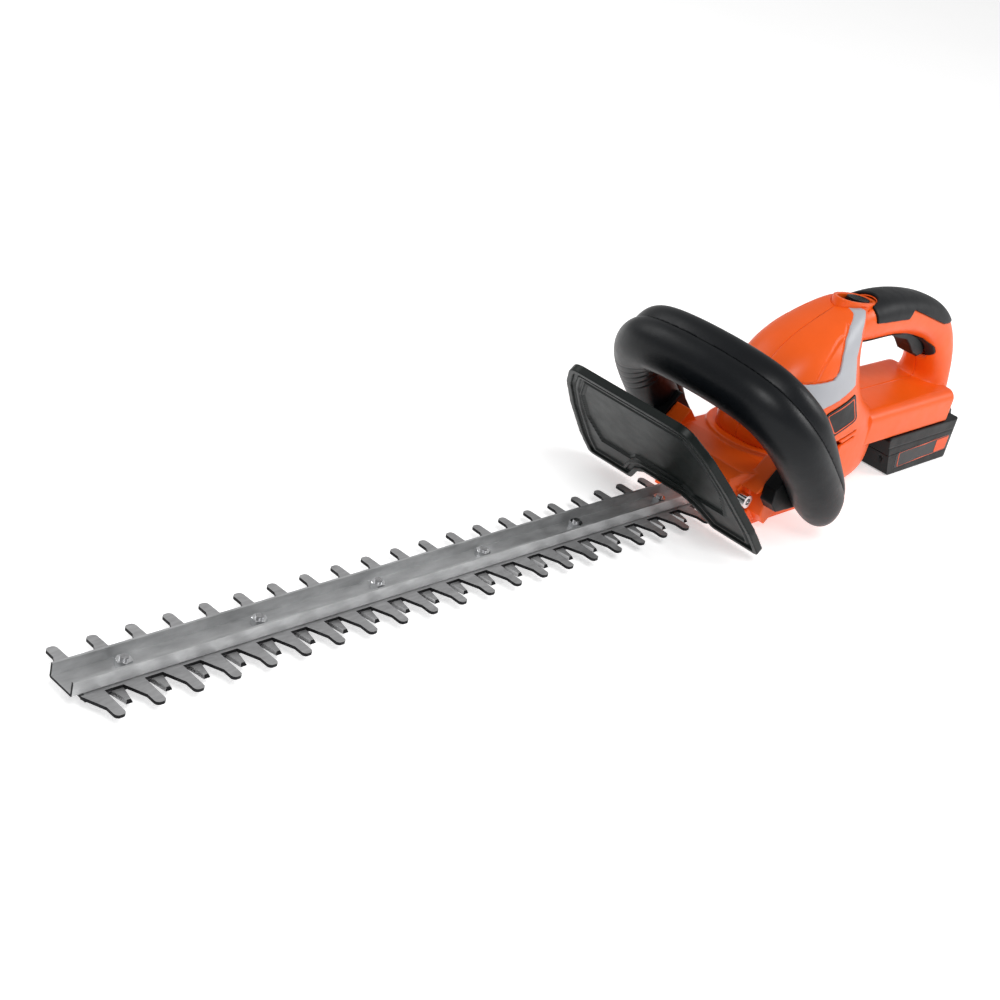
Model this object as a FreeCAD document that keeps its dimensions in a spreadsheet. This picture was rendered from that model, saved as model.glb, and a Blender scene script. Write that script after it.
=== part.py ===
import FreeCAD, Part
import os
from math import asin, cos, pi, radians, sin
from FreeCAD import Matrix, Placement, Rotation, Vector

# Cordless hedge trimmer. Millimetres. +X runs from the blade tip to the rear handle, +Z is up,
# +Y is the tool's right-hand side. The origin is the bottom centre of the whole tool.

doc = FreeCAD.newDocument("hedge_trimmer")
sheet = doc.addObject("Spreadsheet::Sheet", "dims")

# ---------------------------------------------------------------- driving dimensions
DIMENSIONS = {
    # cutting unit
    "pitch": 25.0, "finger_count": 21, "first_finger_x": -419.5, "finger_reach": 33.8,
    "finger_half": 3.4, "finger_root_front": 10.0, "finger_root_rear": 3.8, "shoulder_reach": 25.0,
    "tooth_reach": 23.0, "tooth_root_half": 5.2, "tooth_tip_half": 2.2, "tooth_bevel": 30.0,
    "strip_half": 12.0, "strip_front_x": -427.0, "blade_thick": 2.0, "upper_blade_z": 8.0,
    "lower_blade_z": 5.8, "bar_front_x": -434.5, "bar_rear_x": 98.0, "bar_half": 10.4,
    "bar_floor_z": 10.2, "bar_high": 9.2, "bar_wall": 1.5,
    "bolt_count": 6, "first_bolt_x": -396.5, "bolt_step": 91.5, "bolt_radius": 2.5,
    "nut_across": 8.6, "nut_high": 4.8, "washer_radius": 6.0, "washer_thick": 0.8,
    # drive
    "crank_x": 135.0, "cam_offset": 5.0, "cam_radius": 10.0, "axle_radius": 3.0,
    "running_gap": 0.05, "yoke_spare": 1.4, "yoke_half": 21.5, "yoke_half_long": 17.0,
    "gear_teeth": 60, "pinion_teeth": 10, "gear_module": 1.0, "gear_z": 11.5, "gear_thick": 8.0,
    "motor_radius": 19.0, "motor_long": 58.0, "motor_z": 50.0, "shaft_radius": 1.6,
    # casing
    "wall": 2.6, "skin": 0.9, "case_floor": 3.0, "case_top_z": 48.0,
    "grip_skin": 1.2,
    # front handle and guard
    "loop_lean": 45.0, "loop_x": 72.0, "loop_z": 126.0, "loop_half": 20.5, "loop_front_deep": 29.0,
    "loop_rear_deep": 19.0, "guard_lean": 43.0, "guard_x": 76.0, "guard_z": 15.0,
    "guard_thick": 3.0, "guard_rim": 2.2,
    # battery
    "pack_split_z": 20.0, "pack_half": 38.0, "cell_count": 5, "cell_radius": 9.2, "cell_long": 65.0, "cell_step": 18.6,
    "first_cell_x": 334.0, "cell_z": 12.2,
}
for row, (alias, value) in enumerate(DIMENSIONS.items(), start=1):
    sheet.set("A%d" % row, alias)
    sheet.set("B%d" % row, "%g" % value)
    sheet.setAlias("B%d" % row, alias)
doc.recompute()


def dim(alias):
    """A driving dimension read back from the spreadsheet."""
    return float(sheet.get(alias))


NODES = []


def node(part, name):
    """Registers an object as a finished sub-part whose label names its file."""
    part.Label = name
    NODES.append(part)
    return part


# ---------------------------------------------------------------- helpers: sketches and bodies
def origin_plane(body, role):
    for feature in body.Origin.OriginFeatures:
        if feature.Role == role:
            return feature
    raise ValueError(role)


def new_body(name):
    return node(doc.addObject("PartDesign::Body", name + "_body"), name)


def new_sketch(body, name, role, height=None):
    """A sketch on one of the body's own origin planes, lifted by an expression."""
    sketch = body.newObject("Sketcher::SketchObject", name)
    sketch.AttachmentSupport = [(origin_plane(body, role), "")]
    sketch.MapMode = "FlatFace"
    if height is not None:
        sketch.setExpression("AttachmentOffset.Base.z", height)
    return sketch


def draw(sketch, points):
    """Closed outline: (x, y) is a straight run to it, (mid x, mid y, x, y) an arc through the middle."""
    start = Vector(*points[0], 0)
    here = start
    for item in points[1:]:
        there = Vector(item[-2], item[-1], 0)
        if len(item) == 2:
            sketch.addGeometry(Part.LineSegment(here, there), False)
        else:
            sketch.addGeometry(Part.Arc(here, Vector(item[0], item[1], 0), there), False)
        here = there
    if here.distanceToPoint(start) > 1e-6:
        sketch.addGeometry(Part.LineSegment(here, start), False)


def circle(sketch, x, y, radius):
    sketch.addGeometry(Part.Circle(Vector(x, y, 0), Vector(0, 0, 1), radius), False)


def pad(body, sketch, name, length, taper=None):
    feature = body.newObject("PartDesign::Pad", name)
    feature.Profile = sketch
    feature.setExpression("Length", length)
    if taper:
        feature.setExpression("TaperAngle", taper)
    return feature


def pocket_through(body, sketch, name):
    """A pocket cut through the whole body both ways; it must take material away."""
    feature = body.newObject("PartDesign::Pocket", name)
    feature.Profile = sketch
    feature.Type = "ThroughAll"
    feature.Midplane = True
    before = body.Shape.Volume if body.Shape and not body.Shape.isNull() else 0.0
    doc.recompute()
    if before and body.Shape.Volume >= before:
        raise RuntimeError("%s cut nothing" % name)
    return feature


def pattern(body, sketch_axis, original, name, count, span):
    """Repeats a feature along the sketch's horizontal axis."""
    feature = body.newObject("PartDesign::LinearPattern", name)
    feature.Originals = [original]
    feature.Direction = (sketch_axis, ["H_Axis"])
    feature.setExpression("Length", span)
    feature.setExpression("Occurrences", count)
    body.Tip = feature
    return feature


# ---------------------------------------------------------------- helpers: primitives
def placed(part, x, y, z, turn=None):
    """Places a primitive; x, y and z are numbers or expressions."""
    base = [x, y, z]
    numbers = [value if not isinstance(value, str) else 0.0 for value in base]
    part.Placement = Placement(Vector(*numbers), turn or Rotation())
    for axis, value in zip("xyz", base):
        if isinstance(value, str):
            part.setExpression("Placement.Base." + axis, value)
    return part


def cylinder(name, radius, height, x, y, z, turn=None):
    part = doc.addObject("Part::Cylinder", name)
    part.setExpression("Radius", radius)
    part.setExpression("Height", height)
    return placed(part, x, y, z, turn)


def block(name, length, width, height, x, y, z, turn=None):
    part = doc.addObject("Part::Box", name)
    part.setExpression("Length", length)
    part.setExpression("Width", width)
    part.setExpression("Height", height)
    return placed(part, x, y, z, turn)


def cut(name, base, tool):
    part = doc.addObject("Part::Cut", name)
    part.Base = base
    part.Tool = tool
    return part


def fuse(name, parts):
    part = doc.addObject("Part::MultiFuse", name)
    part.Shapes = parts
    return part


def group(name, parts):
    """Identical separate solids kept in one sub-part."""
    part = doc.addObject("Part::Compound", name + "_group")
    part.Links = parts
    return node(part, name)


def shaped(name, shape):
    """A free-form sub-part whose shape is worked out in code."""
    part = doc.addObject("Part::Feature", name + "_shape")
    part.Shape = shape
    part.Placement = Placement()
    return node(part, name)


# ---------------------------------------------------------------- helpers: free-form shapes
def oval(centre, across, up, half_across, half_up, power, count=28):
    """Closed smooth curve: a superellipse in the plane of the unit vectors across and up."""
    points = []
    for step in range(count):
        angle = 2 * pi * (step + 0.5) / count
        c, s = cos(angle), sin(angle)
        reach = (abs(c) ** power + abs(s) ** power) ** (-1.0 / power)
        points.append(centre + across * (half_across * reach * c) + up * (half_up * reach * s))
    curve = Part.BSplineCurve()
    curve.interpolate(points, PeriodicFlag=True)
    return Part.Wire([curve.toShape()])


def level(z, x_front, x_rear, half, power):
    """A horizontal oval section of the casing."""
    centre = Vector((x_front + x_rear) / 2, 0, z)
    return oval(centre, Vector(1, 0, 0), Vector(0, 1, 0), (x_rear - x_front) / 2, half, power)


def loft(sections):
    shape = Part.makeLoft(sections, True, False)
    if shape.Volume < 0:
        shape.reverse()
    return shape


def stack(rows, grow, trim=0.0):
    """Loft through horizontal rows of (z, front, rear, half width, power), grown all round."""
    low, high = rows[0][0], rows[-1][0]
    sections = []
    for z, x_front, x_rear, half, power in rows:
        height = min(max(z, low + trim), high - trim)
        sections.append(level(height, x_front - grow, x_rear + grow, half + grow, power))
    return loft(sections)


def prism(outline, y_low, y_high):
    """Side-view outline of (x, z) points pushed along Y."""
    points = [Vector(x, y_low, z) for x, z in outline]
    face = Part.Face(Part.makePolygon(points + points[:1]))
    return face.extrude(Vector(0, y_high - y_low, 0))


def plan_prism(outline, z_low, z_high):
    """Plan-view outline of (x, y) points pushed along Z."""
    points = [Vector(x, y, z_low) for x, y in outline]
    face = Part.Face(Part.makePolygon(points + points[:1]))
    return face.extrude(Vector(0, 0, z_high - z_low))


def box(x0, x1, y0, y1, z0, z1):
    return Part.makeBox(x1 - x0, y1 - y0, z1 - z0, Vector(x0, y0, z0))


def mirrored(shape):
    """The same shape on the other side of the tool."""
    return shape.mirror(Vector(0, 0, 0), Vector(0, 1, 0))


def biggest(shape):
    """Drops slivers that a boolean leaves beside the real solid."""
    return max(shape.Solids, key=lambda solid: solid.Volume)


# ---------------------------------------------------------------- cutting unit
TEETH_SPAN = "(dims.finger_count - 1) * dims.pitch"
BOLT_SPAN = "(dims.bolt_count - 1) * dims.bolt_step"


def blade_slots(body, name):
    """Bolt slots and the cross slot that the cam turns in."""
    slot_half = dim("bolt_radius") + dim("cam_offset") + 0.5
    radius = dim("bolt_radius") + 0.4
    sketch = new_sketch(body, name + "_slot", "XY_Plane")
    x = dim("first_bolt_x")
    inner = slot_half - dim("bolt_radius")
    draw(sketch, [(x - inner, -radius), (x + inner, -radius), (x + inner + radius, 0, x + inner, radius),
                  (x - inner, radius), (x - inner - radius, 0, x - inner, -radius)])
    slot = pocket_through(body, sketch, name + "_slot_cut")
    pattern(body, sketch, slot, name + "_slots", "dims.bolt_count", BOLT_SPAN)
    doc.recompute()
    sketch = new_sketch(body, name + "_yoke_slot", "XY_Plane")
    half_x = dim("cam_radius") + dim("yoke_spare")
    half_y = dim("cam_radius") + dim("cam_offset") + 0.6
    x = dim("crank_x")
    draw(sketch, [(x - half_x, -half_y), (x + half_x, -half_y), (x + half_x, half_y), (x - half_x, half_y)])
    pocket_through(body, sketch, name + "_yoke_cut")
    doc.recompute()


def blade_strip(body, name, height):
    """The flat back of a blade, with its wide driven end."""
    sketch = new_sketch(body, name + "_strip", "XY_Plane", height)
    front, half = dim("strip_front_x"), dim("strip_half")
    wide, long_half = dim("yoke_half"), dim("yoke_half_long")
    x = dim("crank_x")
    neck = x - long_half - 8
    draw(sketch, [(front, -half), (neck, -half), (x - long_half, -wide), (x + long_half, -wide),
                  (x + long_half, wide), (x - long_half, wide), (neck, half), (front, half)])
    pad(body, sketch, name + "_strip_pad", "dims.blade_thick")


def make_upper_blade():
    """Upper blade: long blunt fingers with a straight rear edge and a sloped front edge."""
    body = new_body("blade_upper")
    blade_strip(body, "upper", "dims.upper_blade_z")
    sketch = new_sketch(body, "finger", "XY_Plane", "dims.upper_blade_z")
    x, half = dim("first_finger_x"), dim("finger_half")
    root, tip = dim("strip_half") - 1.0, dim("finger_reach")
    shoulder = dim("shoulder_reach")
    tip_round = 2.6
    for side in (1, -1):
        front_root = (x - dim("finger_root_front"), side * root)
        outline = [front_root, (x - half, side * shoulder), (x - half, side * (tip - tip_round)),
                   (x - half + 0.76, side * (tip - 0.76), x - half + tip_round, side * tip),
                   (x + half - tip_round, side * tip),
                   (x + half - 0.76, side * (tip - 0.76), x + half, side * (tip - tip_round)),
                   (x + dim("finger_root_rear"), side * root)]
        draw(sketch, outline)
    finger = pad(body, sketch, "finger_pad", "dims.blade_thick")
    pattern(body, sketch, finger, "fingers", "dims.finger_count", TEETH_SPAN)
    doc.recompute()
    blade_slots(body, "upper")


def make_lower_blade():
    """Lower blade: short ground teeth half a pitch behind the fingers, bevelled on their sides."""
    body = new_body("blade_lower")
    blade_strip(body, "lower", "dims.lower_blade_z")
    sketch = new_sketch(body, "tooth", "XY_Plane", "dims.lower_blade_z")
    x = dim("first_finger_x") + dim("pitch") / 2
    root, tip = dim("strip_half") - 2.5, dim("tooth_reach")
    wide, narrow = dim("tooth_root_half"), dim("tooth_tip_half")
    for side in (1, -1):
        draw(sketch, [(x - wide, side * root), (x - narrow, side * tip), (x + narrow, side * tip),
                      (x + wide, side * root)])
    tooth = pad(body, sketch, "tooth_pad", "dims.blade_thick", "-dims.tooth_bevel")
    pattern(body, sketch, tooth, "teeth", "dims.finger_count - 1", "(dims.finger_count - 2) * dims.pitch")
    doc.recompute()
    blade_slots(body, "lower")


def make_support_bar():
    """The open channel that carries the blades."""
    body = new_body("blade_support_bar")
    sketch = new_sketch(body, "channel", "YZ_Plane", "dims.bar_front_x")
    half, low, wall = dim("bar_half"), dim("bar_floor_z"), dim("bar_wall")
    high = low + dim("bar_high")
    bend = 1.2
    draw(sketch, [(-half + bend, low), (half - bend, low), (half - 0.35, low + 0.35, half, low + bend),
                  (half, high), (half - wall, high), (half - wall, low + wall), (-half + wall, low + wall),
                  (-half + wall, high), (-half, high), (-half, low + bend),
                  (-half + 0.35, low + 0.35, -half + bend, low)])
    pad(body, sketch, "channel_pad", "dims.bar_rear_x - dims.bar_front_x")
    doc.recompute()
    sketch = new_sketch(body, "bar_hole", "XY_Plane")
    circle(sketch, dim("first_bolt_x"), 0, dim("bolt_radius"))
    hole = pocket_through(body, sketch, "bar_hole_cut")
    pattern(body, sketch, hole, "bar_holes", "dims.bolt_count", BOLT_SPAN)


def make_blade_fasteners():
    """Bolts from below, thick washers under the blades, hexagon nuts on the channel floor."""
    bolts, nuts, washers = [], [], []
    floor_top = "dims.bar_floor_z + dims.bar_wall"
    washer_z = "dims.lower_blade_z - 0.2 - dims.washer_thick"
    for number in range(int(dim("bolt_count"))):
        x = "dims.first_bolt_x + %d * dims.bolt_step" % number
        head = cylinder("bolt_head_%d" % number, "dims.bolt_radius * 2", "2.4", x, 0.0, washer_z + " - 2.4")
        shank_long = "dims.bar_floor_z + dims.bar_wall + dims.nut_high + 1.6 - dims.lower_blade_z + 1.0"
        shank = cylinder("bolt_shank_%d" % number, "dims.bolt_radius", shank_long, x, 0.0, washer_z)
        bolts.append(fuse("bolt_%d" % number, [head, shank]))
        disc = cylinder("washer_disc_%d" % number, "dims.washer_radius", "dims.washer_thick", x, 0.0, washer_z)
        bore = cylinder("washer_bore_%d" % number, "dims.bolt_radius", "dims.washer_thick", x, 0.0, washer_z)
        washers.append(cut("washer_%d" % number, disc, bore))
        hexagon = doc.addObject("Part::Prism", "nut_blank_%d" % number)
        hexagon.Polygon = 6
        hexagon.setExpression("Circumradius", "dims.nut_across / 2 / cos(30 deg)")
        hexagon.setExpression("Height", "dims.nut_high")
        placed(hexagon, x, 0.0, floor_top, Rotation(Vector(0, 0, 1), 12.0 + 17.0 * number))
        crown = doc.addObject("Part::Cone", "nut_crown_%d" % number)
        crown.setExpression("Radius1", "dims.nut_across / 2 + dims.nut_high * 1.7")
        crown.setExpression("Radius2", "dims.nut_across / 2")
        crown.setExpression("Height", "dims.nut_high")
        placed(crown, x, 0.0, floor_top)
        rounded = doc.addObject("Part::Common", "nut_round_%d" % number)
        rounded.Base = hexagon
        rounded.Tool = crown
        bore = cylinder("nut_bore_%d" % number, "dims.bolt_radius", "dims.nut_high", x, 0.0, floor_top)
        nuts.append(cut("nut_%d" % number, rounded, bore))
    group("blade_bolts", bolts)
    group("blade_nuts", nuts)
    group("blade_washers", washers)


make_upper_blade()
make_lower_blade()
make_support_bar()
make_blade_fasteners()


# ---------------------------------------------------------------- drive inside the gear case
def gear_outline(teeth, module, first_angle):
    """Trapezoid teeth with generous backlash: four corners for each tooth."""
    pitch_radius = teeth * module / 2
    tip, root = pitch_radius + 0.8 * module, pitch_radius - 1.1 * module
    step = 2 * pi / teeth
    points = []
    for tooth in range(teeth):
        middle = first_angle + tooth * step
        for radius, share in ((root, -0.26), (tip, -0.09), (tip, 0.09), (root, 0.26)):
            angle = middle + share * step
            points.append((radius * cos(angle), radius * sin(angle)))
    return points


def gear(name, teeth, first_angle, x, z, thick, bore):
    outline = [(x + px, py) for px, py in gear_outline(teeth, dim("gear_module"), first_angle)]
    wheel = plan_prism(outline, z, z + thick)
    return wheel.cut(Part.makeCylinder(bore, 60, Vector(x, 0, z - 30)))


def make_drive():
    """Gear wheel with two opposed cams on a fixed axle, driven by the motor pinion."""
    x, z, thick = dim("crank_x"), dim("gear_z"), dim("gear_thick")
    bore = dim("axle_radius") + dim("running_gap")
    gear_teeth, pinion_teeth = int(dim("gear_teeth")), int(dim("pinion_teeth"))
    wheel = gear("drive_gear", gear_teeth, pi / gear_teeth, x, z, thick, bore)
    groove = Part.makeCylinder(22, 3, Vector(x, 0, z + thick - 3)).cut(
        Part.makeCylinder(9, 3, Vector(x, 0, z + thick - 3)))
    hub_z = dim("upper_blade_z") + dim("blade_thick") + 0.3
    hub = Part.makeCylinder(7, z - hub_z, Vector(x, 0, hub_z)).cut(
        Part.makeCylinder(bore, 30, Vector(x, 0, 0)))
    shaped("drive_gear", wheel.cut(groove).fuse(hub).removeSplitter())
    gap = "(dims.upper_blade_z - dims.lower_blade_z - dims.blade_thick) / 2"
    split_z = "dims.upper_blade_z - " + gap
    lower_z = "dims.lower_blade_z"
    cams = (("cam_upper", split_z, "dims.blade_thick + 0.3 + " + gap, "dims.cam_offset"),
            ("cam_lower", lower_z, "dims.blade_thick + " + gap, "-dims.cam_offset"))
    for name, base_z, height, offset in cams:
        disc = cylinder(name + "_disc", "dims.cam_radius", height, "dims.crank_x", offset, base_z)
        hole = cylinder(name + "_hole", "dims.axle_radius + dims.running_gap", height, "dims.crank_x", 0.0, base_z)
        node(cut(name + "_cut", disc, hole), name)
    node(cylinder("axle_pin", "dims.axle_radius", "26.5", "dims.crank_x", 0.0, "1.0"), "gear_axle")
    motor_x = x + dim("gear_module") * (gear_teeth + pinion_teeth) / 2
    pinion = gear("pinion", pinion_teeth, 0.0, motor_x, z, thick + 0.5, dim("shaft_radius"))
    shaped("motor_pinion", pinion)
    return motor_x


def make_motor(motor_x):
    """Upright motor: can with end bosses, shaft through both ends, armature inside."""
    radius, low, tall = dim("motor_radius"), dim("motor_z"), dim("motor_long")
    centre = Vector(motor_x, 0, 0)
    can = Part.makeCylinder(radius, tall, centre + Vector(0, 0, low))
    can = can.fuse(Part.makeCylinder(6.0, 4.0, centre + Vector(0, 0, low - 4)))
    can = can.fuse(Part.makeCylinder(5.0, 2.5, centre + Vector(0, 0, low + tall)))
    can = can.cut(Part.makeCylinder(radius - 1.6, tall - 6, centre + Vector(0, 0, low + 3)))
    can = can.cut(Part.makeCylinder(dim("shaft_radius") + dim("running_gap"), 200, centre))
    window = box(motor_x + radius - 4, motor_x + radius + 1, -4, 4, low + tall - 14, low + tall - 8)
    shaped("motor_can", can.cut(window).removeSplitter())
    shaft_z = dim("gear_z") - 0.5
    shaft_long = low + tall + 4 - shaft_z
    node(cylinder("shaft_rod", "dims.shaft_radius", "%g" % shaft_long, motor_x, 0.0, shaft_z), "motor_shaft")
    armature = Part.makeCylinder(radius - 4.0, tall - 20, centre + Vector(0, 0, low + 8))
    commutator = Part.makeCylinder(6, 8, centre + Vector(0, 0, low + tall - 12))
    core = armature.fuse(commutator).cut(Part.makeCylinder(dim("shaft_radius"), 200, centre))
    shaped("motor_armature", core)


MOTOR_X = make_drive()
make_motor(MOTOR_X)


# ---------------------------------------------------------------- casing forms
# Each row of a stacked form is (height, front x, rear x, half width, squareness).
BODY_ROWS = ((1.5, 196, 273, 26, 2.6), (6, 180, 289, 33, 2.8), (16, 168, 300, 37, 3.0), (30, 150, 304, 38, 3.0),
             (48, 137, 301, 38.5, 3.0), (62, 134, 288, 39, 2.8), (76, 135, 267, 39, 2.7), (92, 138, 253, 38.5, 2.6),
             (108, 145, 246, 36, 2.5), (120, 156, 243, 33, 2.4), (130, 171, 244, 29, 2.3),
             (138, 189, 245, 24.5, 2.2), (145, 208, 247, 19.5, 2.2), (149, 219, 248, 15, 2.2))
FOOT_FRONT, FOOT_REAR, FOOT_LOW, FOOT_HIGH, FOOT_HALF, FOOT_ROUND = 268.0, 404.0, 37.2, 64.0, 36.3, 9.0
# The handle's centre line: (x, height, half width, half depth).
HANDLE_STOPS = ((226, 129, 16, 14), (252, 132.5, 18, 16.5), (285, 133.5, 18.5, 17.3), (316, 131.5, 18.5, 16.6),
                (346, 125.5, 18.5, 16.6), (371, 114.5, 18.7, 17.2), (388.5, 97, 19, 17.6), (398, 79, 19.8, 17.2),
                (400, 66, 21.5, 17.5), (398, 55, 24, 20))


def handle_form(grow):
    """Loft along the handle's centre line, square to its direction at each stop."""
    stops = HANDLE_STOPS
    sections = []
    for index in range(len(stops)):
        x, z, half, deep = stops[index]
        before = stops[max(index - 1, 0)]
        after = stops[min(index + 1, len(stops) - 1)]
        along = Vector(after[0] - before[0], 0, after[1] - before[1])
        along.normalize()
        up = Vector(-along.z, 0, along.x)
        sections.append(oval(Vector(x, 0, z), Vector(0, 1, 0), up, half + grow, deep + grow, 2.5))
    return loft(sections)


def body_form(grow):
    return stack(BODY_ROWS, grow, trim=max(0.0, -grow))


def foot_form(grow):
    """Broad foot over the battery, rounded along its top and at the rear."""
    rear, half, high = FOOT_REAR + grow, FOOT_HALF + grow, FOOT_HIGH + grow
    solid = box(FOOT_FRONT - grow, rear, -half, half, FOOT_LOW, high)
    upper = [edge for edge in solid.Edges if edge.BoundBox.ZMin > high - 0.01 and edge.BoundBox.XMax > rear - 0.01]
    posts = [edge for edge in solid.Edges if edge.BoundBox.XMin > rear - 0.01 and edge.BoundBox.ZLength > 10]
    return solid.makeFillet(FOOT_ROUND + grow, upper + posts)


def hollowed(form_grow):
    """The casing's three forms, each grown by the same amount."""
    return body_form(form_grow), handle_form(form_grow), foot_form(form_grow)


def outer_form():
    """The whole casing form."""
    body, handle, foot = hollowed(0.0)
    return body.fuse(handle).fuse(foot)


# ---------------------------------------------------------------- tilted frames
def tilted(x, z, lean):
    """Placement whose local X is across the tool, local Y runs up the leaning plane, Z to the rear."""
    a = radians(lean)
    return Placement(Matrix(0, -sin(a), cos(a), x, 1, 0, 0, 0, 0, cos(a), sin(a), z, 0, 0, 0, 1))


def moved_shape(shape, placement):
    """Bakes a placement into the geometry, so that later booleans see it in the tool's frame."""
    return shape.transformGeometry(placement.toMatrix())


def rounded_face(points):
    """Flat face from (x, y, corner radius) points, each corner an arc."""
    edges = []
    count = len(points)
    corners = []
    for index in range(count):
        here = Vector(points[index][0], points[index][1], 0)
        before = Vector(points[index - 1][0], points[index - 1][1], 0)
        after = Vector(points[(index + 1) % count][0], points[(index + 1) % count][1], 0)
        back = (before - here).normalize()
        on = (after - here).normalize()
        angle = back.getAngle(on)
        radius = points[index][2]
        setback = radius / abs(sin(angle / 2) / cos(angle / 2)) if radius else 0.0
        middle = (back + on).normalize() * (radius / sin(angle / 2) - radius) if radius else Vector()
        corners.append((here + back * setback, here + middle, here + on * setback, radius))
    for index in range(count):
        first, through, last, radius = corners[index]
        if radius:
            edges.append(Part.Arc(first, through, last).toShape())
        following = corners[(index + 1) % count][0]
        if last.distanceToPoint(following) > 1e-6:
            edges.append(Part.LineSegment(last, following).toShape())
    return Part.Face(Part.Wire(edges))


def slab(face, low, high):
    solid = face.extrude(Vector(0, 0, high - low))
    solid.translate(Vector(0, 0, low))
    return solid


LOOP = tilted(dim("loop_x"), dim("loop_z"), dim("loop_lean"))
GUARD = tilted(dim("guard_x"), dim("guard_z"), dim("guard_lean"))


# ---------------------------------------------------------------- gear case
CASE_SIDE = ((106, 3), (224, 3), (224, 48), (128, 48), (104, 45), (96, 38), (98, 24))
CASE_SCREWS = ((116, 36.5), (116, -36.5), (206, 34), (206, -34))
CASE_PLAN = ((96, -30), (112, -40), (214, -40), (224, -34), (224, 34), (214, 40), (112, 40), (96, 30))


def gear_case_outer():
    """Wedge-fronted block, the two stepped rings below the motor and a flange on each side."""
    floor, top = dim("case_floor"), dim("case_top_z")
    form = prism(CASE_SIDE, -45, 45).common(plan_prism(CASE_PLAN, floor, top))
    ring = Part.makeCone(45, 42, 6, Vector(MOTOR_X, 0, top - 3))
    form = form.fuse(ring)
    for side in (1, -1):
        flange = box(min(side * 36, side * 51), max(side * 36, side * 51), -124, -86, -46, -10)
        form = form.fuse(moved_shape(flange, LOOP).common(box(60, 224, -60, 60, floor, 60)))
    return form.removeSplitter()


def gear_case_inner():
    """Room for the wheel, pinion, yokes and the blade tunnel, plus the axle and motor seats."""
    x = dim("crank_x")
    wheel = dim("gear_teeth") * dim("gear_module") / 2 + 3
    room = Part.makeCylinder(wheel, 20, Vector(x, 0, 3)).fuse(
        Part.makeCylinder(12, 20, Vector(MOTOR_X, 0, 3)))
    tunnel = box(60, x + 30, -24, 24, 3, 12.5).fuse(box(60, dim("bar_rear_x") + 0.3, -11, 11, 3, 22))
    axle = Part.makeCylinder(dim("axle_radius"), 40, Vector(x, 0, 0))
    seat = Part.makeCylinder(6.0, 60, Vector(MOTOR_X, 0, 3))
    clear = Part.makeCylinder(dim("motor_radius") + 0.4, 40, Vector(MOTOR_X, 0, dim("motor_z")))
    return room.fuse(tunnel).fuse(axle).fuse(seat).fuse(clear)


CASE_OUTER = gear_case_outer()


def pocket_screws():
    """Where the guard's two screws stand, in pockets on the sides of the gear case."""
    return [(98, side * 36.5, 26) for side in (1, -1)]


def make_gear_case():
    shape = CASE_OUTER.cut(gear_case_inner())
    for x, y, z in pocket_screws():
        side = 1 if y > 0 else -1
        recess = box(92, 118, min(y, y + side * 20), max(y, y + side * 20), 14, 36)
        shape = shape.cut(recess)
    for x, y in CASE_SCREWS:
        shape = shape.cut(Part.makeCylinder(1.6, 14, Vector(x, y, 3)))
    shaped("gear_case", biggest(shape))
    plate = plan_prism(CASE_PLAN, 0, dim("case_floor")).common(box(106, 230, -60, 60, 0, 9))
    plate = plate.cut(Part.makeCylinder(dim("axle_radius"), 9, Vector(dim("crank_x"), 0, 1)))
    for x, y in CASE_SCREWS:
        plate = plate.cut(Part.makeCylinder(1.6, 9, Vector(x, y, 0)))
        plate = plate.cut(Part.makeCylinder(3.2, 2.0, Vector(x, y, 0)))
    shaped("gear_case_cover", plate)


def make_case_screws():
    screws = []
    for number, (x, y) in enumerate(CASE_SCREWS):
        head = cylinder("case_screw_head_%d" % number, "3.2", "1.8", x, y, 0.2)
        stem = cylinder("case_screw_stem_%d" % number, "1.6", "13.0", x, y, 1.5)
        slot = block("case_screw_slot_%d" % number, "4.4", "0.9", "0.8", x - 2.2, y - 0.45, 0.2)
        screws.append(cut("case_screw_%d" % number, fuse("case_screw_body_%d" % number, [head, stem]), slot))
    group("case_screws", screws)


make_gear_case()
make_case_screws()


# ---------------------------------------------------------------- front loop handle
# Centre line of the loop in its own leaning plane: (across, up) from one foot to the top.
LOOP_LINE = ((-74, -127), (-76, -100), (-75, -66), (-69, -33), (-53, -9), (-28, 0), (0, 2))


def loop_path():
    points = [Vector(x, y, 0) for x, y in LOOP_LINE]
    points += [Vector(-x, y, 0) for x, y in reversed(LOOP_LINE[:-1])]
    curve = Part.BSplineCurve()
    curve.interpolate(points)
    return curve


def front_section(half, deep):
    """Front half of the grip: an oval whose widest line lies ahead of the parting plane."""
    middle = deep * 0.34
    first = -asin(middle / (deep - middle))
    points = []
    for step in range(15):
        angle = first + (pi - 2 * first) * step / 14
        points.append((half * cos(angle), -middle - (deep - middle) * sin(angle)))
    return points


def rear_section(half, deep):
    """Rear half of the grip: a flatter cap."""
    points = []
    for step in range(13):
        angle = pi * step / 12
        c, s = cos(angle), sin(angle)
        reach = (abs(c) ** 2.6 + abs(s) ** 2.6) ** (-1 / 2.6)
        points.append((half * reach * c, deep * reach * s))
    return points


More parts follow.
